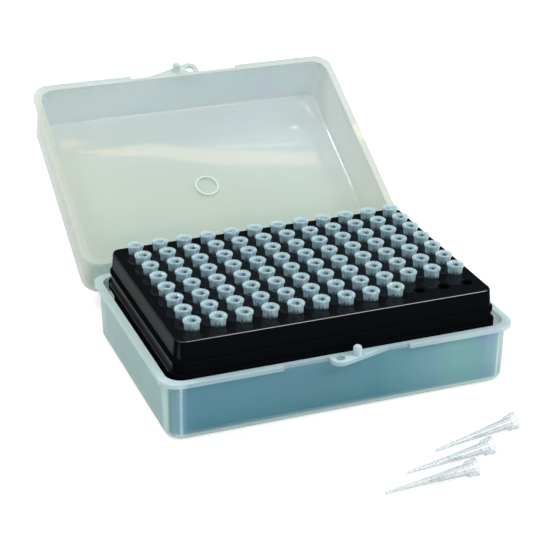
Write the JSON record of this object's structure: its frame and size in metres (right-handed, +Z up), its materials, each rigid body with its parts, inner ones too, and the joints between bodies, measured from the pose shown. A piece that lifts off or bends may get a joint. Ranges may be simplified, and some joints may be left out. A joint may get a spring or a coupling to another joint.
{
  "type": "pipette tip box",
  "caption": "Hinged clear box, open, with a black rack of filter pipette tips standing in rows and a few tips lying in front.",
  "frame": {"origin": "on the table, under the middle of the base's underside", "axes": "+Z up, +X along the twelve columns of holes, +Y towards the hinge"},
  "size_m": [0.1264, 0.2321, 0.0712],
  "materials": {
    "clear_box": "clear polypropylene with a cool grey-green cast, smooth",
    "black_rack": "glossy black moulding",
    "tip": "clear polypropylene",
    "filter": "white porous plug"
  },
  "bodies": {
    "base": {"box_base": "clear_box", "tip_rack": "black_rack", "tips_column_01": "tip", "tips_column_02": "tip", "tips_column_03": "tip", "tips_column_04": "tip", "tips_column_05": "tip", "tips_column_06": "tip", "tips_column_07": "tip", "tips_column_08": "tip", "tips_column_09": "tip", "tips_column_10": "tip", "tips_column_11": "tip", "tips_column_12": "tip", "filters_column_01": "filter", "filters_column_02": "filter", "filters_column_03": "filter", "filters_column_04": "filter", "filters_column_05": "filter", "filters_column_06": "filter", "filters_column_07": "filter", "filters_column_08": "filter", "filters_column_09": "filter", "filters_column_10": "filter", "filters_column_11": "filter", "filters_column_12": "filter", "loose_tip_1": "tip", "loose_tip_2": "tip", "loose_tip_3": "tip", "loose_filter_1": "filter", "loose_filter_2": "filter", "loose_filter_3": "filter"},
    "lid": {"box_lid": "clear_box"}
  },
  "joints": [
    {"name": "lid_hinge", "type": "hinge", "parent": "base", "child": "lid", "pos_m": [0, 0.0472, 0.02175], "axis": [1, 0, 0], "range_deg": [0, 150]}
  ]
}
